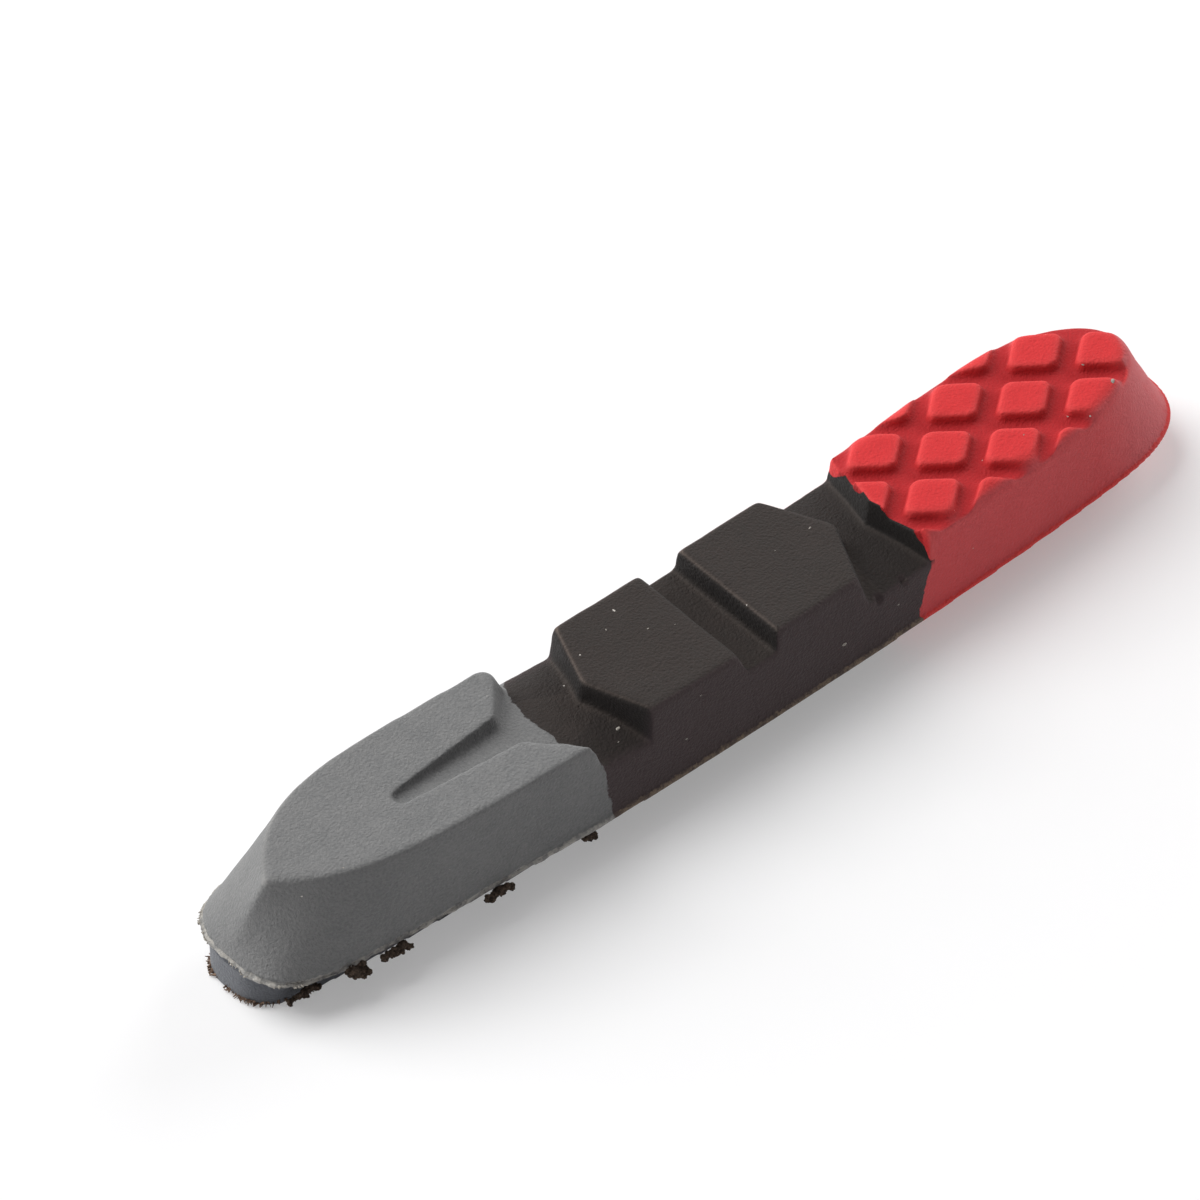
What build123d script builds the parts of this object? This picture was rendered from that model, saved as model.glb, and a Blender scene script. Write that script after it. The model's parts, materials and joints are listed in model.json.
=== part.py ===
from build123d import *
import math
import os

# Rubber insert for a cartridge rim brake shoe, moulded from three compounds.
# X runs from the nose to the tail, Y to the hollow side of the bow, Z up from the back rail to the rubbing face.
# The near side is the bulging one (-Y), the far side the hollow one (+Y). All sizes are in millimetres.

# Whole pad
pad_length = 72.0
bow_radius = 430.0
top_width = 8.9
base_width = 9.9
body_height = 6.3
lip_width = 0.2
lip_height = 0.35

# Back rail and its pin notch
rail_height = 2.6
rail_inset_near = 1.8
rail_inset_far = 0.95
rail_inset_nose = 0.05
rail_stop = 5.2
rail_stop_angle = 25.0
notch_start = 8.4
notch_width = 3.75
notch_depth = 2.4
notch_round = 1.2

# Nose: pointed at the rubbing face, bluff at the base
nose_setback = 2.1
nose_shoulder = 3.7
nose_run = 14.0
nose_draw_in = 0.25
nose_fullness = 0.8
base_run = 8.8
base_flare = 0.45
base_fullness_near = 0.85
base_fullness_far = 0.75

# Tail: rounded, leaning back
tail_setback = 3.3
tail_run = 8.2
tail_fullness = 0.5
tail_base_near = 0.75
tail_base_far = 0.6

# Prongs and slot behind the nose
nose_length = 23.0
prong_depth = 2.85
slot_mouth = 2.4
slot_end = 0.9
slot_end_fullness = 0.9
slot_length = 8.5

# Blocks and grooves, in their order along the pad
chevron_gap = 4.35
block_1_length = 6.55
block_1_arrow = 1.75
cross_groove = 2.95
block_2_length = 6.35
block_2_arrow = 2.15
bow_tie_gap = 5.95
tail_arrow = 1.2

# Groove depths on the middle line, the fall of their floors to the sides, and wall slopes for each millimetre
slot_end_depth = 0.5
chevron_depth = 1.5
chevron_crown = 1.0
cross_depth = 1.6
bow_tie_depth = 1.9
bow_tie_crown = 0.6
back_wall_slope = 0.42
arrow_wall_slope = 0.32
front_wall_slope = 0.08

# Lattice of diamonds on the tail block
lattice_pitch_x = 6.45
lattice_pitch_y = 5.0
lattice_start = 5.25
lattice_side = 0.48
lattice_depth = 0.7
diamond_share = 0.7
diamond_taper = 16.0
diamond_round = 0.35

# Edge radii
block_edge = 0.35
prong_corner = 0.8
tail_edge = 1.1
mouth_round = 0.6
apex_round = 0.6

# Bonds between the compounds
nose_bond_back = 0.4
nose_bond_sweep = 1.2
tail_bond_ahead = 0.5
tail_bond_sweep = 0.8
bond_wave = 0.12
bond_points = 11

# Places that follow from the sizes
nose_x = -pad_length / 2
tail_x = pad_length / 2
top_z = rail_height + body_height
lip_top_z = rail_height + lip_height
tip_x = nose_x + nose_setback
prong_x = nose_x + nose_length
slot_mouth_x = prong_x - prong_depth
block_1_x = prong_x + chevron_gap
block_1_end = block_1_x + block_1_length
block_2_x = block_1_end + cross_groove
block_2_end = block_2_x + block_2_length
tail_block_x = block_2_end + bow_tie_gap
half_top = top_width / 2
half_base = base_width / 2
past_side = base_width


def bow_y(x, offset=0.0):
    """Y of the line that runs at this offset beside the bowed middle line of the pad."""
    return bow_radius - math.sqrt((bow_radius - offset) ** 2 - x * x)


def end_points(x_from, offset, corner, tip, fullness):
    """Half of one end: leaves the side at x_from along its tangent and bends round the sharp corner to the tip."""
    start = Vector(x_from, bow_y(x_from, offset))
    along = Vector(1, x_from / (bow_radius - start.Y))
    first = start + along * (fullness * (corner[0] - x_from))
    last = Vector(tip) + (Vector(corner) - Vector(tip)) * fullness
    curve = Bezier(start, first, last, Vector(tip))
    return [curve @ share for share in (0, 0.25, 0.5, 0.7, 0.85, 1)]


def outline(near, far, nose, tail):
    """Closed plan: two bowed sides and two ends, each end as its tip, its start, its corners and their fullness."""
    nose_tip, nose_from, nose_corners, nose_full = nose
    tail_tip, tail_from, tail_corners, tail_full = tail
    sides = []
    for k, offset in enumerate((-near, far)):
        nose_points = end_points(nose_from, offset, nose_corners[k], nose_tip, nose_full[k])
        tail_points = end_points(tail_from, offset, tail_corners[k], tail_tip, tail_full[k])
        between = [nose_from + (tail_from - nose_from) * share for share in (0.25, 0.5, 0.75)]
        points = nose_points[::-1] + [(x, bow_y(x, offset)) for x in between] + tail_points
        leave = Vector(nose_corners[k]) - Vector(nose_tip)
        arrive = Vector(tail_tip) - Vector(tail_corners[k])
        sides.append(Spline(*points, tangents=(leave, arrive), tangent_scalars=(1, 1)))
    return make_face(sides)


def corners_at(x, near, far):
    """The sharp corners, near and far, that an end at x would have."""
    return [(x, bow_y(x, -near)), (x, bow_y(x, far))]


def base_outline(inset_near=0.0, inset_far=0.0, inset_nose=0.0, inset_tail=0.0):
    """Bluff plan of the pad's base, drawn in by the given insets."""
    near = half_base - inset_near
    far = half_base - inset_far
    nose_at = nose_x + lip_width + inset_nose
    tail_at = tail_x - lip_width - inset_tail
    nose_corners = corners_at(nose_at, near + base_flare, far + base_flare)
    tail_corners = corners_at(tail_at, near, far)
    nose_tip = (nose_at, bow_y(nose_at))
    tail_tip = (tail_at, bow_y(tail_at))
    nose = (nose_tip, nose_at + base_run, nose_corners, (base_fullness_near, base_fullness_far))
    tail = (tail_tip, tail_at - base_run, tail_corners, (tail_base_near, tail_base_far))
    return outline(near, far, nose, tail)


def top_outline():
    """Pointed plan of the rubbing face, its tip on the straight axis of the pad."""
    shoulder_x = tip_x + nose_shoulder
    half_shoulder = half_top - nose_draw_in
    end_x = tail_x - tail_setback
    nose_corners = corners_at(shoulder_x, half_shoulder, half_shoulder)
    tail_corners = corners_at(end_x, half_top, half_top)
    nose = ((tip_x, 0), tip_x + nose_run, nose_corners, (nose_fullness, nose_fullness))
    tail = ((end_x, bow_y(end_x) / 2), end_x - tail_run, tail_corners, (tail_fullness, tail_fullness))
    return outline(half_top, half_top, nose, tail)


def slanted_cut(points, slope, rounds):
    """Upright cutter over a plan, open above the rubbing face, whose walls lean along X by slope for each millimetre."""
    plan = make_face(Polyline(*points, close=True))
    for radius, chosen in rounds:
        plan = fillet([plan.vertices().sort_by_distance(points[i])[0] for i in chosen], radius)
    start = Pos(-slope, 0, top_z + 1) * plan
    return extrude(start, (body_height + 1) * math.hypot(1, slope), dir=(slope, 0, -1))


def above_floor(x, depth, crown, rise=0.0):
    """Space above a groove floor: so deep at x on the middle line, falling to both sides and rising to the nose."""
    reach = half_base + 1
    floor_z = top_z - depth
    side_z = floor_z - crown * (reach / half_top) ** 2
    arch = ThreePointArc((-reach, side_z), (0, floor_z), (reach, side_z))
    lid = Polyline((reach, side_z), (reach, top_z + 1), (-reach, top_z + 1), (-reach, side_z))
    section = Plane.YZ.offset(x) * make_face([arch, lid])
    return extrude(section, pad_length / 2, dir=(1, 0, -rise), both=True)


def chevron_cut():
    """Groove behind the nose: the V between the prongs, the slot on into the nose, and the arrow of block 1."""
    prong_lean = prong_depth / (half_top - slot_mouth / 2)
    wing_x = slot_mouth_x + prong_lean * (past_side - slot_mouth / 2)
    slot_end_x = slot_mouth_x - slot_length
    arrow_x = block_1_x - block_1_arrow
    arrow_wing_x = arrow_x + block_1_arrow / half_top * past_side
    behind_prongs = [
        (slot_end_x, slot_end / 2),
        (slot_mouth_x, slot_mouth / 2),
        (wing_x, past_side),
        (tail_x, past_side),
        (tail_x, -past_side),
        (wing_x, -past_side),
        (slot_mouth_x, -slot_mouth / 2),
        (slot_end_x, -slot_end / 2),
    ]
    ahead_of_arrow = [(arrow_x, 0), (arrow_wing_x, past_side), (nose_x, past_side)]
    ahead_of_arrow += [(nose_x, -past_side), (arrow_wing_x, -past_side)]
    rounds = [(slot_end_fullness * slot_end / 2, (0, 7)), (mouth_round, (1, 6))]
    prong_side = slanted_cut(behind_prongs, back_wall_slope, rounds)
    arrow_side = slanted_cut(ahead_of_arrow, -front_wall_slope, [(apex_round, (0,))])
    rise = (chevron_depth - slot_end_depth) / (arrow_x - slot_end_x)
    return prong_side & arrow_side & above_floor(arrow_x, chevron_depth, chevron_crown, rise)


def cross_cut():
    """Straight groove between the blocks."""
    floor_z = top_z - cross_depth
    points = [
        (block_1_end - back_wall_slope, top_z + 1),
        (block_1_end + back_wall_slope * cross_depth, floor_z),
        (block_2_x - front_wall_slope * cross_depth, floor_z),
        (block_2_x + front_wall_slope, top_z + 1),
    ]
    section = make_face(Polyline(*points, close=True))
    return extrude(Plane.XZ * section, past_side, both=True)


def bow_tie_cut():
    """Groove before the tail block, narrow in the middle, between two arrows that point at each other."""
    back_apex = block_2_end + block_2_arrow
    front_apex = tail_block_x - tail_arrow
    back_wing = back_apex - block_2_arrow / half_top * past_side
    front_wing = front_apex + tail_arrow / half_top * past_side
    behind_block_2 = [(back_apex, 0), (back_wing, past_side), (tail_x, past_side)]
    behind_block_2 += [(tail_x, -past_side), (back_wing, -past_side)]
    ahead_of_tail = [(front_apex, 0), (front_wing, past_side), (nose_x, past_side)]
    ahead_of_tail += [(nose_x, -past_side), (front_wing, -past_side)]
    back_side = slanted_cut(behind_block_2, arrow_wall_slope, [(apex_round, (0,))])
    front_side = slanted_cut(ahead_of_tail, -front_wall_slope, [])
    return back_side & front_side & above_floor(front_apex, bow_tie_depth, bow_tie_crown)


def diamond():
    """One raised diamond of the lattice, from the rubbing face down to its foot."""
    lean = math.degrees(math.atan2(lattice_pitch_y, lattice_pitch_x))
    spacing = lattice_pitch_x * math.sin(math.radians(lean))
    half_width = diamond_share * spacing / 2
    foot = half_width + lattice_depth * math.tan(math.radians(diamond_taper))
    points = [(-half_width, 0), (half_width, 0), (foot, -lattice_depth), (-foot, -lattice_depth)]
    ridge = extrude(Plane.YZ * make_face(Polyline(*points, close=True)), lattice_pitch_x, both=True)
    stud = Rot(0, 0, lean) * ridge & Rot(0, 0, -lean) * ridge
    slanted_edges = stud.edges().filter_by(lambda edge: edge.bounding_box().size.Z > lattice_depth / 2)
    return chamfer(slanted_edges, diamond_round)


def lattice_cut():
    """What comes off the tail block's top to leave the diamonds standing."""
    front_x = tail_block_x - tail_arrow
    first_x = tail_block_x + lattice_start
    step_x = lattice_pitch_x / 2
    first_column = math.floor((front_x - first_x) / step_x)
    last_column = math.ceil((tail_x - first_x) / step_x)
    last_row = math.ceil(half_base / lattice_pitch_y)
    slab = Pos(front_x, 0, top_z) * Box(
        tail_x - front_x, 2 * past_side, 2 * lattice_depth, align=(Align.MIN, Align.CENTER, Align.CENTER)
    )
    stud = diamond()
    studs = []
    for column in range(first_column, last_column + 1):
        shift = lattice_side + (column % 2) * lattice_pitch_y / 2
        for row in range(-last_row - 1, last_row + 1):
            studs.append(Pos(first_x + column * step_x, shift + row * lattice_pitch_y, top_z) * stud)
    return slab - studs


def rail():
    """Back rail that the shoe holds, with its slanted stop and the notch for the retaining pin."""
    bar = extrude(base_outline(rail_inset_near, rail_inset_far, rail_inset_nose), rail_height)
    stop_x = tail_x - rail_stop
    beyond = Box(pad_length, 4 * past_side, 4 * rail_height, align=(Align.MIN, Align.CENTER, Align.CENTER))
    bar = bar - Pos(stop_x, bow_y(stop_x), 0) * Rot(0, 0, rail_stop_angle) * beyond
    notch_x = nose_x + notch_start
    notch_y = bow_y(notch_x, half_base - rail_inset_far) - notch_depth
    plan = Rectangle(notch_width, notch_depth + past_side, align=(Align.MIN, Align.MIN))
    plan = fillet(plan.vertices().sort_by_distance((notch_width, 0))[0], notch_round)
    return bar - Pos(notch_x, notch_y, 0) * extrude(plan, rail_height)


def rubbing_faces(shape):
    """The flat faces of a shape that lie in the rubbing plane."""
    return shape.faces().filter_by(Axis.Z).filter_by_position(Axis.Z, top_z - 0.01, top_z + 0.01)


def side_of_bond(x, sweep, phase, far_x):
    """Tall block on one side of a bond, out to far_x: the bond is swept back at the sides and a little wavy."""
    points = []
    for i in range(bond_points):
        y = past_side * (2 * i / (bond_points - 1) - 1)
        share = min(abs(y) / half_base, 1.2)
        wave = math.sin(1.9 * y + phase) + 0.5 * math.sin(3.1 * y + 2 * phase)
        points.append((x + sweep * share**2 + bond_wave * wave, y))
    rest = Polyline(points[-1], (far_x, past_side), (far_x, -past_side), points[0])
    return extrude(make_face([Spline(*points), rest]), top_z + 1)


# Body with its grooves, then the lattice, the parting lip and the rail
body = loft([Pos(0, 0, lip_top_z) * base_outline(), Pos(0, 0, top_z) * top_outline()], ruled=True)
body = body - chevron_cut()
body = body - cross_cut()
body = body - bow_tie_cut()
prong_corners = []
for edge in body.edges():
    middle = edge.center()
    aside = abs(middle.Y - bow_y(middle.X)) > half_top / 2
    at_prong = slot_mouth_x < middle.X < block_1_x - block_1_arrow
    if aside and at_prong and edge.bounding_box().max.Z > top_z - 0.01 and edge.bounding_box().size.Z > 1:
        prong_corners.append(edge)
body = fillet(prong_corners, prong_corner)
tail_edges = rubbing_faces(body).sort_by(Axis.X)[-1].edges()
body = fillet(tail_edges.filter_by(lambda edge: edge.center().X > tail_block_x), tail_edge)
blocks = rubbing_faces(body).filter_by(lambda face: slot_mouth_x < face.center().X < tail_block_x)
body = fillet(blocks.edges(), block_edge)
body = body - lattice_cut()
lip = extrude(base_outline(-lip_width, -lip_width, -lip_width, -lip_width), lip_height)
whole = body + Pos(0, 0, rail_height) * lip + rail()

# One solid for each compound
ahead = side_of_bond(prong_x - nose_bond_back, nose_bond_sweep, 0.6, nose_x - 1)
behind = side_of_bond(tail_block_x - tail_arrow - tail_bond_ahead, tail_bond_sweep, 2.1, tail_x + 1)
nodes = {
    "nose_compound": whole & ahead,
    "middle_compound": whole - ahead - behind,
    "tail_compound": whole & behind,
}
centring = Pos(0, -whole.bounding_box().center().Y, 0)
os.makedirs("parts", exist_ok=True)
for name, node in nodes.items():
    export_step(centring * node, f"parts/{name}.step")
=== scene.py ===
import json
import math
import random

import bpy
import numpy as np
from mathutils import Matrix, Vector

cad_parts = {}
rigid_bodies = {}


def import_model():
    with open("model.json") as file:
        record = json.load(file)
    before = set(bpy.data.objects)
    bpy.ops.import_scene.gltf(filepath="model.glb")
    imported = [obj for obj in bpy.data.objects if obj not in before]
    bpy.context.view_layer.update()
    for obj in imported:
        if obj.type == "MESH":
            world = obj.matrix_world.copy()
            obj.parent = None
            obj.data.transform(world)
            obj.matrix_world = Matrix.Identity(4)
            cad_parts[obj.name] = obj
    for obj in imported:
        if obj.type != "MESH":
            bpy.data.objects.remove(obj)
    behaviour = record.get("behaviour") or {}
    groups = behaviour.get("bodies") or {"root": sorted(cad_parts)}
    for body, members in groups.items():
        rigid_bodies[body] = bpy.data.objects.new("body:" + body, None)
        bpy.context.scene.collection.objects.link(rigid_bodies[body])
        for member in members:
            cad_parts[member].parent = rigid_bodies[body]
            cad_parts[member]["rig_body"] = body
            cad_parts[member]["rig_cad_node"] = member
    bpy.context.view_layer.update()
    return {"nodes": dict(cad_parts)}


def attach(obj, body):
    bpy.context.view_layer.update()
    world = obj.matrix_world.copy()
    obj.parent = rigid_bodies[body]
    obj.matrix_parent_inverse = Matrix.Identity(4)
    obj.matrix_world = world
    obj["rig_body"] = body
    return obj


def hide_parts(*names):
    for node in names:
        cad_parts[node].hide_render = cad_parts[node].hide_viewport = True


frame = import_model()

# Rubber insert for a cartridge rim brake shoe: a grey nose, a black middle and a red tail moulded together.
# X runs from the nose to the tail, Y to the hollow side of the bow, Z up from the back rail to the rubbing face.
# The pad is shaped in millimetres and brought down to metres when it is split into its compounds.
MM = 0.001

# Form of the pad. Its middle line runs at Y = SIDE_SHIFT + X * X / BOW.
SIDE_SHIFT = -0.489
BOW = 860.0
HALF_BASE = 4.95
HALF_TOP = 4.45
RAIL_TOP = 2.6
LIP_TOP = 2.95
RUBBING_FACE = 8.9

# Bonds of the compounds: X on the middle line, and how much further towards the tail they lie at the sides.
NOSE_BOND = (-13.7, 1.7)
TAIL_BOND = (11.45, 0.8)

# Foot of the tail block's wall: X on the middle line, and its slant for each millimetre aside.
TAIL_WALL = (11.78, 0.27)

# Lattice of diamonds: where it starts, the height of its channels, and where and how far the tail rounds off.
LATTICE_START = 12.3
LATTICE_FOOT = 8.2
TAIL_TURN = 24.0
TAIL_REACH = 8.7

# Grooves of the middle: the range of X that they lie in, and a height just under their floors.
GROOVES = (-15.0, 12.9)
UNDER_GROOVES = 6.0

# Two nicks in the near edge of the bow tie groove, and the near prong's tip with the plan and slant of its wedge.
NICKS = ((8.8, -5.05, 6.35), (10.8, -4.95, 6.5))
PRONG_TIP = (-13.0, -4.74)
WEDGE_PLAN = ((0.0, 0.0), (-1.43, 1.67), (-1.6, 0.05))
WEDGE_SLANT = (1.0, -0.2, -2.4)

# Fineness of the skin and of the crumbs, and the rounds of smoothing for each zone of the skin.
SKIN_VOXEL = 0.12
CRUMB_VOXEL = 0.055
SMOOTHING = (
    ("body", 6), ("blocks", 6), ("block_tops", 20), ("nose_top", 28),
    ("tip", 60), ("lattice", 24), ("keel", 55), ("lip", 1),
)

# Crumbs under the lip and at the nose: name, start, run, number of lumps and their size.
CRUMBS = (
    ("large_crumb", (-30.9, -4.55, 2.55), (1.7, -0.1, -0.6), 46, 0.28),
    ("long_crumb", (-28.9, -4.8, 2.55), (1.7, -0.1, -0.2), 38, 0.2),
    ("small_crumb", (-21.6, -5.2, 2.55), (2.2, -0.05, -0.25), 36, 0.19),
    ("last_crumb", (-14.3, -5.3, 2.55), (1.5, 0.0, -0.25), 32, 0.17),
    ("rail_crumb", (-35.1, 2.3, 1.6), (-0.2, -1.3, -0.6), 30, 0.15),
    ("foot_crumb", (-34.1, -2.7, 0.65), (1.6, -0.3, 0.0), 34, 0.17),
)

# Least X of a lump, least place of a crumb's skin, and for fibres the last X of a root, least X and least Z.
LUMP_LEAST_X = -35.5
CRUMB_LEAST = (-35.9, -5.6, 0.05)
ROOTS_BEFORE = -31.8
FIBRE_LEAST_X = -35.93
FIBRE_LEAST_Z = 0.1

# Dust grains seen from above as X, Y and radius, and from the near side as X, Z and radius.
TOP_FLECKS = (
    (-29.85, -2.56, 0.1), (-6.45, 1.74, 0.09), (-4.58, 0.21, 0.1), (-3.2, -0.58, 0.08), (-9.94, -3.28, 0.19),
    (-10.5, -3.95, 0.1), (7.95, 0.15, 0.12), (5.16, 0.09, 0.08), (29.75, -2.49, 0.22), (29.41, -0.27, 0.12),
    (25.93, -2.64, 0.1), (22.61, -2.42, 0.1),
)
SIDE_FLECKS = (
    (-5.06, 7.66, 0.1), (-6.36, 5.07, 0.14), (5.89, 4.63, 0.2), (10.24, 4.94, 0.12), (-23.7, 5.88, 0.08),
)

# Colours from 0 to 255.
GREY = {
    # The worn colours here and in BLACK are pale wear with a painted highlight, on edges that face the window lamp.
    "dark": (105, 106, 106), "light": (125, 125, 124), "wear_and_highlight": (180, 177, 172),
    # The rail colour makes the rail darker below the lip.
    "rail": (84, 88, 96), "flash": (182, 178, 170),
}
# The flank colour here and the pale coat in RED are a pale bloom on the flanks, partly a painted sheen.
BLACK = {
    # The wall colours here and in RED are painted shade on walls and on groove floors.
    "dark": (37, 32, 29), "light": (50, 43, 40), "wear_and_highlight": (150, 134, 124), "wall": (18, 14, 13),
    # The hollow colour is a painted highlight along the feet of the walls.
    "hollow": (120, 108, 98), "flank": (156, 130, 138), "flash": (132, 116, 98), "film": (24, 20, 18),
# The film colour is the middle compound on the tail block's wall, darkened by painted shade.
}
# The channel colour is painted shade in the channels between the diamonds.
RED = {
    # The edge colour is a painted highlight on the rounded edges of the red.
    "dark": (200, 42, 45), "light": (212, 51, 53), "edge": (236, 88, 86), "channel": (164, 29, 34),
    "wall": (150, 16, 20), "bloom_and_sheen": (204, 172, 176), "flash": (216, 56, 52),
}
DUST = (205, 200, 192)

# Lamps: name, direction from the pad, size in metres and power in watts.
LAMP_DISTANCE = 1.2
LAMPS = (
    ("window", (-0.3, 0.55, 0.92), 1.1, 13.0),
    ("low_card", (-0.55, 0.8, 0.3), 0.9, 8.0),
    ("tail_card", (0.9, 0.15, 0.4), 0.8, 6.5),
)

# Camera fitted to the photograph: its place in millimetres, its right and back directions, and its lens.
CAMERA_PLACE = (-242.82, -267.28, 375.30)
CAMERA_RIGHT = (0.7518, -0.6594, 0.0)
CAMERA_BACK = (-0.4624, -0.5273, 0.7129)
CAMERA_LENS = 267.1


def pick(*objects):
    """Selects these objects and nothing else, the first one active."""
    bpy.ops.object.select_all(action="DESELECT")
    for obj in objects:
        obj.select_set(True)
    bpy.context.view_layer.objects.active = objects[0]


def finish_with(obj, kind, **settings):
    """Adds one modifier with these settings and applies it."""
    pick(obj)
    bpy.ops.object.modifier_add(type=kind)
    modifier = obj.modifiers[-1]
    for name, value in settings.items():
        setattr(modifier, name, value)
    bpy.ops.object.modifier_apply(modifier=modifier.name)


def vectors_of(mesh, kind):
    """Places ("co") or normals ("normal") of all vertices as one array."""
    values = np.zeros(len(mesh.vertices) * 3, np.float32)
    mesh.vertices.foreach_get(kind, values)
    return values.reshape(-1, 3)


def ramp(values, start, length):
    """Share that grows from 0 to 1 from the start on over this length, which is negative where it grows downwards."""
    return np.clip((values - start) / length, 0, 1)


def weigh(obj, name, weights):
    """Vertex group whose weights come from an array, in steps of a tenth."""
    group = obj.vertex_groups.new(name=name)
    steps = np.round(np.clip(weights, 0, 1) * 10).astype(int)
    for step in range(1, 11):
        chosen = np.nonzero(steps == step)[0]
        if len(chosen):
            group.add(chosen.tolist(), step / 10, "REPLACE")


def unevenness(name, size, depth=2):
    """Cloud texture for the small waves that a mould leaves."""
    texture = bpy.data.textures.new(name, "CLOUDS")
    texture.noise_scale = size
    texture.noise_depth = depth
    return texture


def near_prong_tip():
    """Slanted wedge that brings the near prong's rounded corner out to the flank."""
    bpy.ops.object.select_all(action="DESELECT")
    bpy.ops.mesh.primitive_circle_add(vertices=len(WEDGE_PLAN), fill_type="NGON")
    tip = bpy.context.object
    for corner, (dx, dy) in zip(tip.data.vertices, WEDGE_PLAN):
        corner.co = (PRONG_TIP[0] + dx, PRONG_TIP[1] + dy, RUBBING_FACE)
    bpy.ops.object.mode_set(mode="EDIT")
    bpy.ops.mesh.select_all(action="SELECT")
    bpy.ops.mesh.extrude_region_move(TRANSFORM_OT_translate={"value": WEDGE_SLANT})
    bpy.ops.mesh.select_all(action="SELECT")
    bpy.ops.mesh.normals_make_consistent(inside=False)
    bpy.ops.object.mode_set(mode="OBJECT")
    return tip


def cast_pad():
    """The three solids joined and cast again as one skin with soft edges, in millimetres."""
    pick(*[frame["nodes"][name] for name in ("nose_compound", "middle_compound", "tail_compound")])
    bpy.ops.object.duplicate()
    copies = list(bpy.context.selected_objects)
    bpy.ops.object.parent_clear(type="CLEAR_KEEP_TRANSFORM")
    pick(*copies)
    bpy.ops.object.join()
    pad = bpy.context.object
    pad.name = "pad"
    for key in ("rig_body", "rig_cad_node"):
        del pad[key]
    pad.scale = (1 / MM, 1 / MM, 1 / MM)
    bpy.ops.object.transform_apply(location=False, rotation=False, scale=True)
    bpy.ops.object.mode_set(mode="EDIT")
    bpy.ops.mesh.select_all(action="SELECT")
    bpy.ops.mesh.remove_doubles(threshold=0.002)
    bpy.ops.object.mode_set(mode="OBJECT")
    pick(pad, near_prong_tip())
    bpy.ops.object.join()
    finish_with(pad, "REMESH", mode="VOXEL", voxel_size=SKIN_VOXEL, adaptivity=0.0)
    return pad


def zones_of(pad):
    """Weights of the zones of the skin that are rounded or roughened each in its own way."""
    x, y, z = vectors_of(pad.data, "co").T
    above = ramp(z, LIP_TOP + 0.1, 0.4)
    below = ramp(z, RAIL_TOP - 0.25, -0.3) * 0.5
    before_tail = ramp(x, 11.0, -0.8)
    slot = ramp(np.abs(y + 0.1), 2.2, -0.8) * ramp(x, -26.0, 1.0)
    from_tip = np.hypot(x - PRONG_TIP[0], y - PRONG_TIP[1])
    on_lip = (z > RAIL_TOP - 0.25) & (z < LIP_TOP + 0.12)
    nicked = np.zeros(len(x))
    for nick in NICKS:
        far = np.sqrt(((x - nick[0]) * 1.6) ** 2 + (y - nick[1]) ** 2 + (z - nick[2]) ** 2)
        nicked = np.maximum(nicked, np.clip(1.3 - far / 0.4, 0, 1))
    return {
        "body": above + below,
        "blocks": ramp(z, 6.2, 0.4) * ramp(x, -13.5, 1.0) * before_tail,
        "block_tops": ramp(z, 8.0, 0.4) * ramp(x, -12.5, 0.5) * before_tail,
        "nose_top": ramp(z, 7.4, 0.5) * ramp(x, -13.0, -1.0) * (1 - 0.6 * slot),
        "tip": ramp(from_tip, 1.6, -1.0) * (z > 6.8),
        "lattice": ramp(x, LATTICE_START, 0.4) * ramp(z, LATTICE_FOOT - 0.4, 0.3),
        "keel": ramp(x, -31.0, -2.0) * ramp(np.abs(y), 3.0, -1.0) * above,
        "lip": on_lip,
        "ragged": on_lip * np.maximum(ramp(x, -14.0, -6.0), 0.12),
        "nicked": nicked,
    }


def soften(pad):
    """Rounds the moulded edges and gives the faces their slight waves, with the lip and the seat kept."""
    for name, weights in zones_of(pad).items():
        weigh(pad, name, weights)
    for name, rounds in SMOOTHING:
        finish_with(pad, "SMOOTH", factor=0.5, iterations=rounds, vertex_group=name)
    finish_with(
        pad, "DISPLACE", texture=unevenness("mould_waves", 2.6), texture_coords="LOCAL",
        strength=0.09, mid_level=1.0, vertex_group="body",
    )
    finish_with(
        pad, "DISPLACE", texture=unevenness("ragged_lip", 0.7, 3), texture_coords="LOCAL",
        strength=0.3, mid_level=1.0, vertex_group="ragged",
    )
    finish_with(pad, "DISPLACE", strength=-0.35, mid_level=0.0, vertex_group="nicked")


def bend_of(mesh, places, normals):
    """How sharply the skin bends at each point, evened out among neighbours: under 0 on edges, over 0 in hollows."""
    ends = np.zeros(len(mesh.edges) * 2, np.int32)
    mesh.edges.foreach_get("vertices", ends)
    a, b = ends.reshape(-1, 2).T
    count = np.bincount(a, minlength=len(places)) + np.bincount(b, minlength=len(places))

    def gathered(at_a, at_b):
        return (np.bincount(a, at_a, len(places)) + np.bincount(b, at_b, len(places))) / np.maximum(count, 1)

    step = places[b] - places[a]
    length = (step**2).sum(1) + 1e-9
    bend = gathered((step * normals[a]).sum(1) / length, -(step * normals[b]).sum(1) / length)
    for i in range(6):
        bend = 0.4 * bend + 0.6 * gathered(bend[b], bend[a])
    return bend


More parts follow.
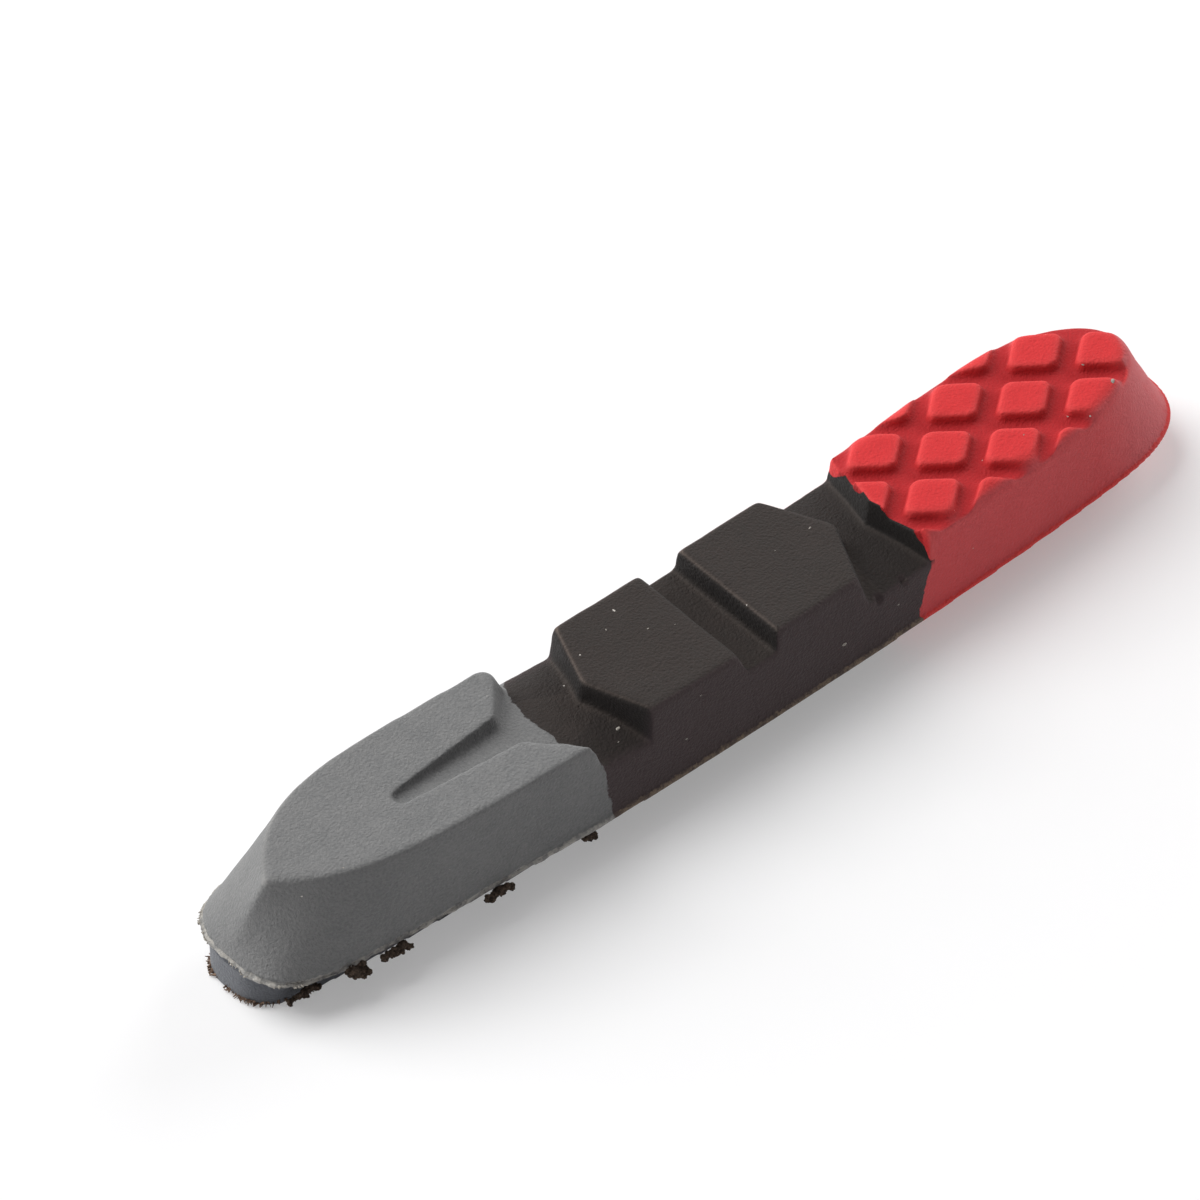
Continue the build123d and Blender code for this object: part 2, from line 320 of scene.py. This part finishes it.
def mark_skin(pad):
    """Keeps for each point how much it is an edge, a hollow, an edge with wear and painted highlight, a wall or floor
    with painted shade, a channel or a flank.
    """
    places = vectors_of(pad.data, "co")
    normals = vectors_of(pad.data, "normal")
    x, y, z = places.T
    to_tail, to_side, up = normals.T
    bend = bend_of(pad.data, places, normals)
    edge = ramp(bend, 0.0, -0.8)
    hollow = ramp(bend, 0.0, 0.7)
    # Edges that face the window lamp get pale wear with a painted highlight.
    to_window = ramp(0.6 * to_side - 0.8 * to_tail, 0.15, 0.4) * ramp(up, 0.25, 0.3)
    beside = np.abs(y - SIDE_SHIFT - x**2 / BOW)
    half = HALF_TOP * np.sqrt(np.clip(1 - (np.maximum(x - TAIL_TURN, 0) / TAIL_REACH) ** 2, 0, 1))
    lattice = (x > LATTICE_START) * (z > LATTICE_FOOT - 0.25) * ramp(beside - half, -0.5, -0.8)
    wall_foot = ramp(z, RUBBING_FACE - 0.1, -0.5)
    # Painted shade on the diamonds' walls, strongest at their feet and in hollows.
    diamond_walls = np.clip(wall_foot * ramp(up, 0.9, -0.4) + 0.7 * hollow, 0, 1)
    groove = (x > GROOVES[0]) & (x < GROOVES[1]) & (z > UNDER_GROOVES) & (beside < HALF_BASE - 0.05)
    groove_walls = ramp(np.abs(to_tail), 0.5, 0.3)
    # Painted shade on the walls of the grooves and on their floors near the nose and before the tail.
    floor_shade = (0.45 * (x > 9.2) + 0.35 * (x < -7.0)) * (z < 7.3) * (up > 0.8)
    # Painted shade in the channels between the diamonds.
    channel = (x > 11.5) * (beside < half + 0.2) * ramp(z, 8.65, -0.3) * ramp(up, 0.4, 0.4)
    # The flanks get a pale bloom that is partly a painted sheen.
    aside = np.maximum(np.abs(to_side), to_tail * (x > TAIL_TURN))
    round_end = ramp(x, 28.0, 1.5) * ramp(z, LATTICE_FOOT - 0.5, 0.4)
    outer = ramp(beside - half, -0.6, 0.5) * (1 - round_end * (1 - ramp(to_tail, 0.15, 0.2)))
    marks = {
        "edge": edge,
        "hollow": hollow,
        "wear_and_highlight": edge * to_window,
        "wall_shade": lattice * diamond_walls + groove * (groove_walls + floor_shade),
        "channel": channel,
        "flank": ramp(aside, 0.25, 0.45) * outer,
    }
    for name, values in marks.items():
        layer = pad.data.attributes.new(name, "FLOAT", "POINT")
        layer.data.foreach_set("value", values.astype(np.float32))


def sweep(mesh, bond, way):
    """Moves the points along X by the bond's sweep, or back, so that a straight cut follows the bond."""
    places = vectors_of(mesh, "co")
    share = np.minimum(np.abs(places[:, 1] - SIDE_SHIFT) / HALF_BASE, 1.2)
    places[:, 0] += way * bond[1] * share**2
    mesh.vertices.foreach_set("co", places.ravel())


def cut_at(piece, bond, keep_tail):
    """Cuts a piece at a bond, keeps one side of it and closes the cut."""
    sweep(piece.data, bond, -1)
    pick(piece)
    bpy.ops.object.mode_set(mode="EDIT")
    bpy.ops.mesh.select_mode(type="FACE")
    bpy.ops.mesh.select_all(action="SELECT")
    bpy.ops.mesh.bisect(
        plane_co=(bond[0], 0, 0), plane_no=(1, 0, 0), use_fill=True, clear_inner=keep_tail, clear_outer=not keep_tail
    )
    bpy.ops.mesh.select_all(action="DESELECT")
    bpy.ops.mesh.select_face_by_sides(number=4, type="GREATER")
    bpy.ops.mesh.quads_convert_to_tris()
    bpy.ops.object.mode_set(mode="OBJECT")
    sweep(piece.data, bond, 1)


def split(pad):
    """Parts the cast pad into its three compounds along the bonds and brings them to metres."""
    pieces = {}
    for name, cuts in (
        ("nose_rubber", [(NOSE_BOND, False)]),
        ("tail_rubber", [(TAIL_BOND, True)]),
        ("middle_rubber", [(NOSE_BOND, True), (TAIL_BOND, False)]),
    ):
        piece = pad
        if name != "middle_rubber":
            pick(pad)
            bpy.ops.object.duplicate()
            piece = bpy.context.object
        for bond, keep_tail in cuts:
            cut_at(piece, bond, keep_tail)
        piece.vertex_groups.clear()
        pieces[name] = to_metres(piece, name)
        bpy.ops.object.shade_smooth_by_angle(angle=math.radians(55))
    return pieces


def to_metres(obj, name):
    """Gives a piece its name and brings it from millimetres to metres, unturned at the origin."""
    obj.name = name
    obj.data.name = name
    pick(obj)
    bpy.ops.object.transform_apply(location=True, rotation=True, scale=True)
    obj.scale = (MM, MM, MM)
    bpy.ops.object.transform_apply(location=False, rotation=False, scale=True)
    return obj


def crumb(name, start, run, lumps, size, chance):
    """Bit of torn dirt: lumps grown from one another along a run, cast together and roughened."""
    bpy.ops.object.select_all(action="DESELECT")
    made = []
    places = [Vector(start)]
    low_y, high_y = sorted((start[1], start[1] + run[1]))
    for i in range(lumps):
        radius = size * chance.uniform(0.6, 1.15)
        bpy.ops.mesh.primitive_ico_sphere_add(subdivisions=2, radius=radius, location=places[-1])
        made.append(bpy.context.object)
        stray = Vector([chance.uniform(-1, 1) for axis in range(3)]).normalized() * size * 0.75
        at = places[chance.randrange(max(0, i - 4), i + 1)] + Vector(run) * (2.5 / lumps) + stray
        at.x = max(at.x, LUMP_LEAST_X)
        at.y = min(max(at.y, low_y - 0.1), high_y + 0.4)
        at.z = min(max(at.z, 0.5), RAIL_TOP)
        places.append(at)
    pick(*made)
    bpy.ops.object.join()
    bit = bpy.context.object
    bpy.ops.object.transform_apply(location=True, rotation=True, scale=True)
    finish_with(bit, "REMESH", mode="VOXEL", voxel_size=CRUMB_VOXEL, adaptivity=0.0)
    for ripple, height in ((0.2, 0.28), (0.08, 0.16)):
        finish_with(
            bit, "DISPLACE", texture=unevenness(f"{name}_{ripple}", ripple, 3), texture_coords="LOCAL",
            strength=height, mid_level=0.5,
        )
    for point in bit.data.vertices:
        point.co = [max(value, least) for value, least in zip(point.co, CRUMB_LEAST)]
    bpy.ops.object.shade_smooth_by_angle(angle=math.radians(40))
    return to_metres(bit, name)


def frayed(name, pad, low, high, clumps, fibres, longest, chance):
    """Clumps of short torn fibres that stand out from the skin around the nose, between two heights."""
    places = vectors_of(pad.data, "co")
    normals = vectors_of(pad.data, "normal")
    outward = np.hypot(normals[:, 0], normals[:, 1]) > 0.75
    between = (places[:, 2] > low) & (places[:, 2] < high)
    chosen = np.nonzero(outward & between & (places[:, 0] < ROOTS_BEFORE))[0]
    roots = []
    for i in range(clumps):
        middle = places[chosen[chance.randrange(len(chosen))]]
        close = chosen[np.abs(places[chosen] - middle).max(1) < 0.45]
        roots += [int(close[chance.randrange(len(close))]) for j in range(chance.randrange(3, fibres))]
    made = []
    for k in roots:
        root = Vector(places[k].tolist())
        out = Vector(normals[k].tolist())
        out = (out + Vector([chance.uniform(-0.7, 0.7) for axis in range(3)])).normalized()
        end = root + out * chance.uniform(0.25, 1.0) * longest
        end.x = max(end.x, FIBRE_LEAST_X)
        end.z = max(end.z, FIBRE_LEAST_Z)
        thick = chance.uniform(0.035, 0.1)
        bpy.ops.mesh.primitive_cone_add(
            vertices=5, radius1=thick, radius2=thick * 0.35, depth=(end - root).length + 0.1,
            location=(root * 1.1 + end * 0.9) / 2, rotation=(end - root).to_track_quat("Z", "Y").to_euler(),
        )
        made.append(bpy.context.object)
    pick(*made)
    bpy.ops.object.join()
    return to_metres(bpy.context.object, name)


def dust_flecks(pad):
    """Flat pale grains that lie on the pad where the light shows them, from above or from the near side."""
    rays = [((x, y, 12.0), (0, 0, -1), radius) for x, y, radius in TOP_FLECKS]
    rays += [((x, -9.0, z), (0, 1, 0), radius) for x, z, radius in SIDE_FLECKS]
    made = []
    for start, along, radius in rays:
        hit, spot, normal, face = pad.ray_cast(start, along)
        bpy.ops.mesh.primitive_ico_sphere_add(subdivisions=2, radius=radius, location=spot)
        grain = bpy.context.object
        grain.rotation_euler = normal.to_track_quat("Z", "Y").to_euler()
        grain.scale = (1.0, 0.6, 0.3)
        made.append(grain)
    pick(*made)
    bpy.ops.object.join()
    flecks = bpy.context.object
    bpy.ops.object.transform_apply(location=True, rotation=True, scale=True)
    finish_with(
        flecks, "DISPLACE", texture=unevenness("fleck_shape", 0.12), texture_coords="LOCAL",
        strength=0.08, mid_level=0.8,
    )
    bpy.ops.object.shade_smooth_by_angle(angle=math.radians(40))
    return to_metres(flecks, "dust_flecks")


def feed(tree, socket, value):
    """Links an output to a socket, or writes a plain value on it."""
    if isinstance(value, bpy.types.NodeSocket):
        tree.links.new(value, socket)
    else:
        socket.default_value = value


def sums(tree, operation, *values):
    """One Math node on these values."""
    step = tree.nodes.new("ShaderNodeMath")
    step.operation = operation
    for socket, value in zip(step.inputs, values):
        feed(tree, socket, value)
    return step.outputs[0]


def spread(tree, value, low, high, to_low=0.0, to_high=1.0):
    """Smooth step of a value from one range to another."""
    step = tree.nodes.new("ShaderNodeMapRange")
    step.interpolation_type = "SMOOTHSTEP"
    for socket, number in zip(step.inputs, (value, low, high, to_low, to_high)):
        feed(tree, socket, number)
    return step.outputs[0]


def blend(tree, share, first, second):
    """Colour between two others."""
    step = tree.nodes.new("ShaderNodeMix")
    step.data_type = "RGBA"
    feed(tree, step.inputs[0], share)
    feed(tree, step.inputs[6], first)
    feed(tree, step.inputs[7], second)
    return step.outputs[2]


def clouds(tree, where, scale, detail=2.0, rough=0.5):
    """Noise value between 0 and 1."""
    step = tree.nodes.new("ShaderNodeTexNoise")
    feed(tree, step.inputs["Vector"], where)
    feed(tree, step.inputs["Scale"], scale)
    feed(tree, step.inputs["Detail"], detail)
    feed(tree, step.inputs["Roughness"], rough)
    return step.outputs[0]


def new_group(name, outputs):
    """Empty shader group that takes a place and gives these values: the group, the place and its output node."""
    group = bpy.data.node_groups.new(name, "ShaderNodeTree")
    group.interface.new_socket("Vector", in_out="INPUT", socket_type="NodeSocketVector")
    for label in outputs:
        group.interface.new_socket(label, in_out="OUTPUT", socket_type="NodeSocketFloat")
    return group, group.nodes.new("NodeGroupInput").outputs[0], group.nodes.new("NodeGroupOutput")


def place(tree, group, where):
    """Puts a shader group into a material."""
    step = tree.nodes.new("ShaderNodeGroup")
    step.node_tree = group
    feed(tree, step.inputs["Vector"], where)
    return step


def bond_group():
    """Which compound shows at a place, with ragged edges: black behind the grey nose, red at the tail."""
    group, where, made = new_group("compound_bonds", ("Black", "Red", "Film", "Bloom_sheen_share", "Lip", "Rail"))
    parts = group.nodes.new("ShaderNodeSeparateXYZ")
    feed(group, parts.inputs[0], where)
    x, y, z = [sums(group, "MULTIPLY", part, 1 / MM) for part in parts.outputs]
    aside = sums(group, "ABSOLUTE", sums(group, "SUBTRACT", y, SIDE_SHIFT))
    share = sums(group, "MINIMUM", sums(group, "DIVIDE", aside, HALF_BASE), 1.2)
    square = sums(group, "MULTIPLY", share, share)
    ragged = sums(group, "SUBTRACT", clouds(group, where, 900.0, 4.0, 0.65), 0.5)
    fringe = sums(group, "SUBTRACT", clouds(group, where, 3200.0, 3.0, 0.6), 0.5)
    waver = sums(group, "ADD", sums(group, "MULTIPLY", ragged, 0.9), sums(group, "MULTIPLY", fringe, 0.22))
    behind = sums(group, "SUBTRACT", x, sums(group, "MULTIPLY_ADD", square, NOSE_BOND[1], NOSE_BOND[0]))
    feed(group, made.inputs["Black"], spread(group, sums(group, "ADD", behind, waver), -0.05, 0.05))
    # The red starts at a line that climbs the flanks, and between the flanks at the foot of the tail block's wall.
    bow = sums(group, "MULTIPLY_ADD", sums(group, "MULTIPLY", x, x), 1 / BOW, SIDE_SHIFT)
    within = spread(group, sums(group, "ABSOLUTE", sums(group, "SUBTRACT", y, bow)), 4.56, 4.64, 1.0, 0.0)
    within = sums(group, "MULTIPLY", within, spread(group, z, 6.1, 6.25))
    climb = sums(group, "ADD", spread(group, z, 3.0, 5.0, -0.3, 0.35), spread(group, z, 5.0, 6.4, 0.0, 0.5))
    flank_line = sums(group, "ADD", climb, sums(group, "MULTIPLY_ADD", square, TAIL_BOND[1], TAIL_BOND[0]))
    flank_line = sums(group, "SUBTRACT", flank_line, sums(group, "MULTIPLY", waver, 0.7))
    foot_line = sums(group, "MULTIPLY_ADD", aside, TAIL_WALL[1], TAIL_WALL[0])
    lead = sums(group, "MULTIPLY", within, sums(group, "SUBTRACT", foot_line, flank_line))
    red = spread(group, sums(group, "SUBTRACT", x, sums(group, "ADD", flank_line, lead)), -0.05, 0.05)
    # A thin black film stays on that wall, up to a crest that is highest on the middle line; its colour is black
    # rubber darkened by painted shade.
    wall = sums(group, "SUBTRACT", x, sums(group, "ADD", foot_line, 0.3))
    middle = spread(group, aside, 0.2, 1.5, 0.9, 0.0)
    outer = sums(group, "ADD", spread(group, aside, 2.6, 4.4, 0.0, 1.2), spread(group, y, -4.9, -4.3, 0.6, 0.0))
    crest = sums(group, "SUBTRACT", sums(group, "ADD", middle, LATTICE_FOOT + 0.1), outer)
    film = sums(group, "ADD", sums(group, "SUBTRACT", z, crest), sums(group, "MULTIPLY", waver, 0.6))
    clear = sums(group, "MAXIMUM", spread(group, wall, -0.03, 0.03), spread(group, film, -0.04, 0.04))
    clear = sums(group, "MAXIMUM", clear, sums(group, "SUBTRACT", 1.0, within))
    feed(group, made.inputs["Red"], sums(group, "MULTIPLY", red, clear))
    feed(group, made.inputs["Film"], sums(group, "MULTIPLY", red, sums(group, "SUBTRACT", 1.0, clear)))
    # How much pale bloom the flanks take, partly a painted sheen, growing towards the tail end where it also paints
    # the light on the end.
    feed(group, made.inputs["Bloom_sheen_share"], spread(group, x, 27.0, 33.0, 0.12, 0.26))
    lip_top = sums(group, "MULTIPLY_ADD", fringe, 0.3, LIP_TOP)
    under_top = spread(group, sums(group, "SUBTRACT", z, lip_top), 0.0, 0.08, 1.0, 0.0)
    feed(group, made.inputs["Lip"], sums(group, "MULTIPLY", under_top, spread(group, z, RAIL_TOP - 0.1, RAIL_TOP)))
    # Below the lip the rail is coloured darker.
    feed(group, made.inputs["Rail"], spread(group, z, RAIL_TOP - 0.2, RAIL_TOP - 0.05, 0.7, 0.0))
    return group


def grain_group():
    """Matte moulded rubber: fine grain and pits for the bump, slow mottling, dots and stray dust."""
    group, where, made = new_group("rubber_grain", ("Height", "Mottle", "Dust", "Dots"))
    fine = clouds(group, where, 9000.0, 2.0, 0.6)
    coarse = clouds(group, where, 5400.0, 2.0, 0.6)
    grains = clouds(group, where, 5600.0, 3.0, 0.7)
    pits = group.nodes.new("ShaderNodeTexVoronoi")
    feed(group, pits.inputs["Vector"], where)
    feed(group, pits.inputs["Scale"], 1500.0)
    pit = spread(group, pits.outputs["Distance"], 0.06, 0.16)
    rare = spread(group, clouds(group, where, 300.0, 2.0), 0.55, 0.62)
    pit = sums(group, "MAXIMUM", pit, sums(group, "SUBTRACT", 1.0, rare))
    height = sums(group, "ADD", sums(group, "MULTIPLY", fine, 0.35), coarse)
    feed(group, made.inputs["Height"], sums(group, "ADD", height, sums(group, "MULTIPLY", pit, 0.6)))
    slow = clouds(group, where, 330.0, 5.0, 0.6)
    both = sums(group, "ADD", sums(group, "MULTIPLY", slow, 0.3), sums(group, "MULTIPLY", grains, 0.7))
    feed(group, made.inputs["Mottle"], spread(group, both, 0.3, 0.7))
    feed(group, made.inputs["Dots"], spread(group, clouds(group, where, 1400.0, 3.0, 0.7), 0.4, 0.58, 0.2, 0.75))
    # Dust specks are cells of a pattern whose places a noise moves a little, so that none is quite round.
    wander = group.nodes.new("ShaderNodeTexNoise")
    feed(group, wander.inputs["Vector"], where)
    feed(group, wander.inputs["Scale"], 2500.0)
    drift = group.nodes.new("ShaderNodeVectorMath")
    drift.operation = "MULTIPLY_ADD"
    feed(group, drift.inputs[0], wander.outputs[1])
    drift.inputs[1].default_value = (0.0003, 0.0003, 0.0003)
    feed(group, drift.inputs[2], where)
    specks = group.nodes.new("ShaderNodeTexVoronoi")
    feed(group, specks.inputs["Vector"], drift.outputs[0])
    feed(group, specks.inputs["Scale"], 700.0)
    tint = group.nodes.new("ShaderNodeSeparateColor")
    feed(group, tint.inputs[0], specks.outputs["Color"])
    few = sums(group, "GREATER_THAN", tint.outputs[0], 0.4)
    size = sums(group, "MULTIPLY_ADD", tint.outputs[1], 0.035, 0.015)
    near = sums(group, "SUBTRACT", size, specks.outputs["Distance"])
    feed(group, made.inputs["Dust"], sums(group, "MULTIPLY", spread(group, near, 0.0, 0.012), few))
    return group


def linear(red, green, blue):
    """Colour for a shader from its usual 0 to 255 values."""
    shares = [value / 255 for value in (red, green, blue)]
    return (*[s / 12.92 if s <= 0.04045 else ((s + 0.055) / 1.055) ** 2.4 for s in shares], 1.0)


def new_material(name):
    """Empty material: itself, its nodes, its shader and the place on the piece."""
    material = bpy.data.materials.new(name)
    material.use_nodes = True
    tree = material.node_tree
    return material, tree, tree.nodes["Principled BSDF"], tree.nodes.new("ShaderNodeTexCoord").outputs["Object"]


def raised(tree, shader, height, strength, distance):
    """Lets a height show as relief on the shader."""
    bump = tree.nodes.new("ShaderNodeBump")
    bump.inputs["Strength"].default_value = strength
    bump.inputs["Distance"].default_value = distance
    feed(tree, bump.inputs["Height"], height)
    feed(tree, shader.inputs["Normal"], bump.outputs[0])


def rubber(name, bonds, grain, sheen, relief):
    """Material of one compound. All three share the bonds, so that the colours meet wherever the pieces part."""
    material, tree, shader, where = new_material(name)
    mask = place(tree, bonds, where).outputs
    skin = place(tree, grain, where).outputs
    mottle, dots, flash = skin["Mottle"], skin["Dots"], mask["Lip"]

    def marked(mark, strength):
        """Share of a coat: a mark that was kept on the skin, times its strength."""
        step = tree.nodes.new("ShaderNodeAttribute")
        step.attribute_name = mark
        return sums(tree, "MULTIPLY", step.outputs["Fac"], strength)

    def coated(tones, *coats):
        """Mottled colour of a compound with coats laid over it in turn."""
        colour = blend(tree, mottle, linear(*tones["dark"]), linear(*tones["light"]))
        for share, tone in coats:
            colour = blend(tree, share, colour, linear(*tones[tone]))
        return colour

    dotted_flash = sums(tree, "MULTIPLY", flash, dots)
    # Edges that face the window lamp get pale wear with a painted highlight, on grey and black alike.
    grey = coated(GREY, (marked("wear_and_highlight", 0.2), "wear_and_highlight"), (mask["Rail"], "rail"), (dotted_flash, "flash"))
    # Walls and groove floors take the wall colour as painted shade, on black and red alike.
    black = coated(
        # A faint painted highlight lightens the hollows at the feet of the walls.
        BLACK, (marked("wear_and_highlight", 0.3), "wear_and_highlight"), (marked("wall_shade", 0.9), "wall"), (marked("hollow", 0.06), "hollow"),
        # Pale bloom on the flanks, partly a painted sheen.
        (marked("flank", 0.09), "flank"), (dotted_flash, "flash"),
    )
    # The red's rounded edges get a painted highlight.
    red = coated(
        # Painted shade in the channels between the diamonds.
        RED, (marked("edge", 0.3), "edge"), (marked("channel", 0.8), "channel"), (marked("wall_shade", 0.7), "wall"),
        # Pale bloom on the flanks, partly a painted sheen, stronger at the tail end.
        (marked("flank", mask["Bloom_sheen_share"]), "bloom_and_sheen"), (sums(tree, "MULTIPLY", flash, 0.75), "flash"),
    )
    colour = blend(tree, mask["Black"], grey, black)
    # The film on the tail block's wall is black rubber darkened by painted shade.
    colour = blend(tree, mask["Film"], colour, linear(*BLACK["film"]))
    colour = blend(tree, mask["Red"], colour, red)
    colour = blend(tree, skin["Dust"], colour, linear(*DUST))
    feed(tree, shader.inputs["Base Color"], colour)
    feed(tree, shader.inputs["Roughness"], sums(tree, "MULTIPLY_ADD", mottle, 0.14, 0.66))
    shader.inputs["Specular IOR Level"].default_value = 0.22
    shader.inputs["Sheen Weight"].default_value = sheen
    shader.inputs["Sheen Roughness"].default_value = 0.5
    raised(tree, shader, skin["Height"], relief, 0.0002)
    return material


def dirt(name, dark, pale):
    """Dull torn fibres and crumbs, mottled between two colours."""
    material, tree, shader, where = new_material(name)
    lumps = clouds(tree, where, 5200.0, 4.0, 0.65)
    feed(tree, shader.inputs["Base Color"], blend(tree, spread(tree, lumps, 0.35, 0.7), linear(*dark), linear(*pale)))
    feed(tree, shader.inputs["Roughness"], spread(tree, lumps, 0.3, 0.7, 0.95, 0.8))
    shader.inputs["Specular IOR Level"].default_value = 0.2
    raised(tree, shader, lumps, 0.6, 0.00005)
    return material


def only_seen(tree, seen, other):
    """Shader that the camera and reflections see, in place of the other that lights the scene."""
    path = tree.nodes.new("ShaderNodeLightPath")
    step = tree.nodes.new("ShaderNodeMixShader")
    mirrored = sums(tree, "MAXIMUM", path.outputs["Is Glossy Ray"], path.outputs["Is Transmission Ray"])
    feed(tree, step.inputs[0], sums(tree, "MAXIMUM", path.outputs["Is Camera Ray"], mirrored))
    feed(tree, step.inputs[1], other)
    feed(tree, step.inputs[2], seen)
    return step.outputs[0]


def floor():
    """Pale table top that the pad lies on."""
    bpy.ops.object.select_all(action="DESELECT")
    bpy.ops.mesh.primitive_plane_add(size=4.0, location=(0, 0, 0))
    top = bpy.context.object
    top.name = "table_top"
    paper = bpy.data.materials.new("pale_table")
    paper.use_nodes = True
    tree = paper.node_tree
    shader = tree.nodes["Principled BSDF"]
    shader.inputs["Base Color"].default_value = (0.96, 0.96, 0.96, 1)
    shader.inputs["Roughness"].default_value = 0.9
    shader.inputs["Specular IOR Level"].default_value = 0.1
    white = tree.nodes.new("ShaderNodeEmission")
    white.inputs["Strength"].default_value = 1.0
    paler = tree.nodes.new("ShaderNodeMixShader")
    paler.inputs[0].default_value = 0.3
    feed(tree, paler.inputs[1], shader.outputs[0])
    feed(tree, paler.inputs[2], white.outputs[0])
    feed(tree, tree.nodes["Material Output"].inputs[0], only_seen(tree, paler.outputs[0], shader.outputs[0]))
    top.data.materials.append(paper)


def lamp(name, direction, size, power):
    """Round soft lamp that shines on the pad from this direction."""
    towards = Vector(direction).normalized()
    bpy.ops.object.light_add(type="AREA", location=towards * LAMP_DISTANCE)
    light = bpy.context.object
    light.name = name
    light.data.shape = "DISK"
    light.data.size = size
    light.data.energy = power
    light.rotation_euler = towards.to_track_quat("Z", "Y").to_euler()


def studio():
    """Soft window behind the pad and to its left, weak cards low at the far side and at the tail, and a weak sky."""
    for row in LAMPS:
        lamp(*row)
    world = bpy.data.worlds.new("studio")
    world.use_nodes = True
    tree = world.node_tree
    sky = tree.nodes["Background"]
    sky.inputs["Color"].default_value = (0.98, 0.95, 1.0, 1)
    sky.inputs["Strength"].default_value = 0.17
    backdrop = tree.nodes.new("ShaderNodeBackground")
    backdrop.inputs["Color"].default_value = (1.0, 1.0, 1.0, 1)
    backdrop.inputs["Strength"].default_value = 1.0
    feed(tree, tree.nodes["World Output"].inputs[0], only_seen(tree, backdrop.outputs[0], sky.outputs[0]))
    bpy.context.scene.world = world


def camera():
    """Camera at the photograph's place: long lens, looking down on the nose and the bulging side."""
    back = Vector(CAMERA_BACK).normalized()
    up = back.cross(Vector(CAMERA_RIGHT).normalized()).normalized()
    right = up.cross(back)
    data = bpy.data.cameras.new("camera")
    data.sensor_width = 36.0
    data.lens = CAMERA_LENS
    data.clip_start = 0.01
    data.clip_end = 20.0
    eye = bpy.data.objects.new("camera", data)
    bpy.context.scene.collection.objects.link(eye)
    turn = Matrix((right, up, back)).transposed().to_4x4()
    eye.matrix_world = Matrix.Translation(Vector(CAMERA_PLACE) * MM) @ turn
    bpy.context.scene.camera = eye


camera()
floor()
studio()
pad = cast_pad()
soften(pad)
mark_skin(pad)
chance = random.Random(11)
fray = frayed("nose_fray", pad, 0.15, 0.4, 24, 12, 0.3, chance)
lip_fray = frayed("lip_fray", pad, RAIL_TOP, RAIL_TOP + 0.2, 12, 6, 0.12, chance)
crumbs = [crumb(*row, chance) for row in CRUMBS]
flecks = dust_flecks(pad)
pieces = split(pad)
bonds = bond_group()
grain = grain_group()
for piece, node, finish, sheen, relief in (
    ("nose_rubber", "nose_compound", "grey_rubber", 0.16, 0.5),
    ("middle_rubber", "middle_compound", "black_rubber", 0.02, 0.7),
    ("tail_rubber", "tail_compound", "red_rubber", 0.04, 0.42),
):
    obj = pieces[piece]
    obj.data.materials.clear()
    obj.data.materials.append(rubber(finish, bonds, grain, sheen, relief))
    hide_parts(node)
    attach(obj, "root")
brown = dirt("brown_dirt", (44, 36, 30), (88, 74, 63))
tan = dirt("tan_fibre", (84, 68, 58), (158, 134, 116))
pale = dirt("pale_flash", (140, 136, 128), (196, 190, 180))
for bit, colour in [(bit, brown) for bit in crumbs] + [(fray, tan), (lip_fray, pale), (flecks, pale)]:
    bit.data.materials.clear()
    bit.data.materials.append(colour)
    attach(bit, "root")

bpy.context.scene.view_settings.view_transform = "Standard"
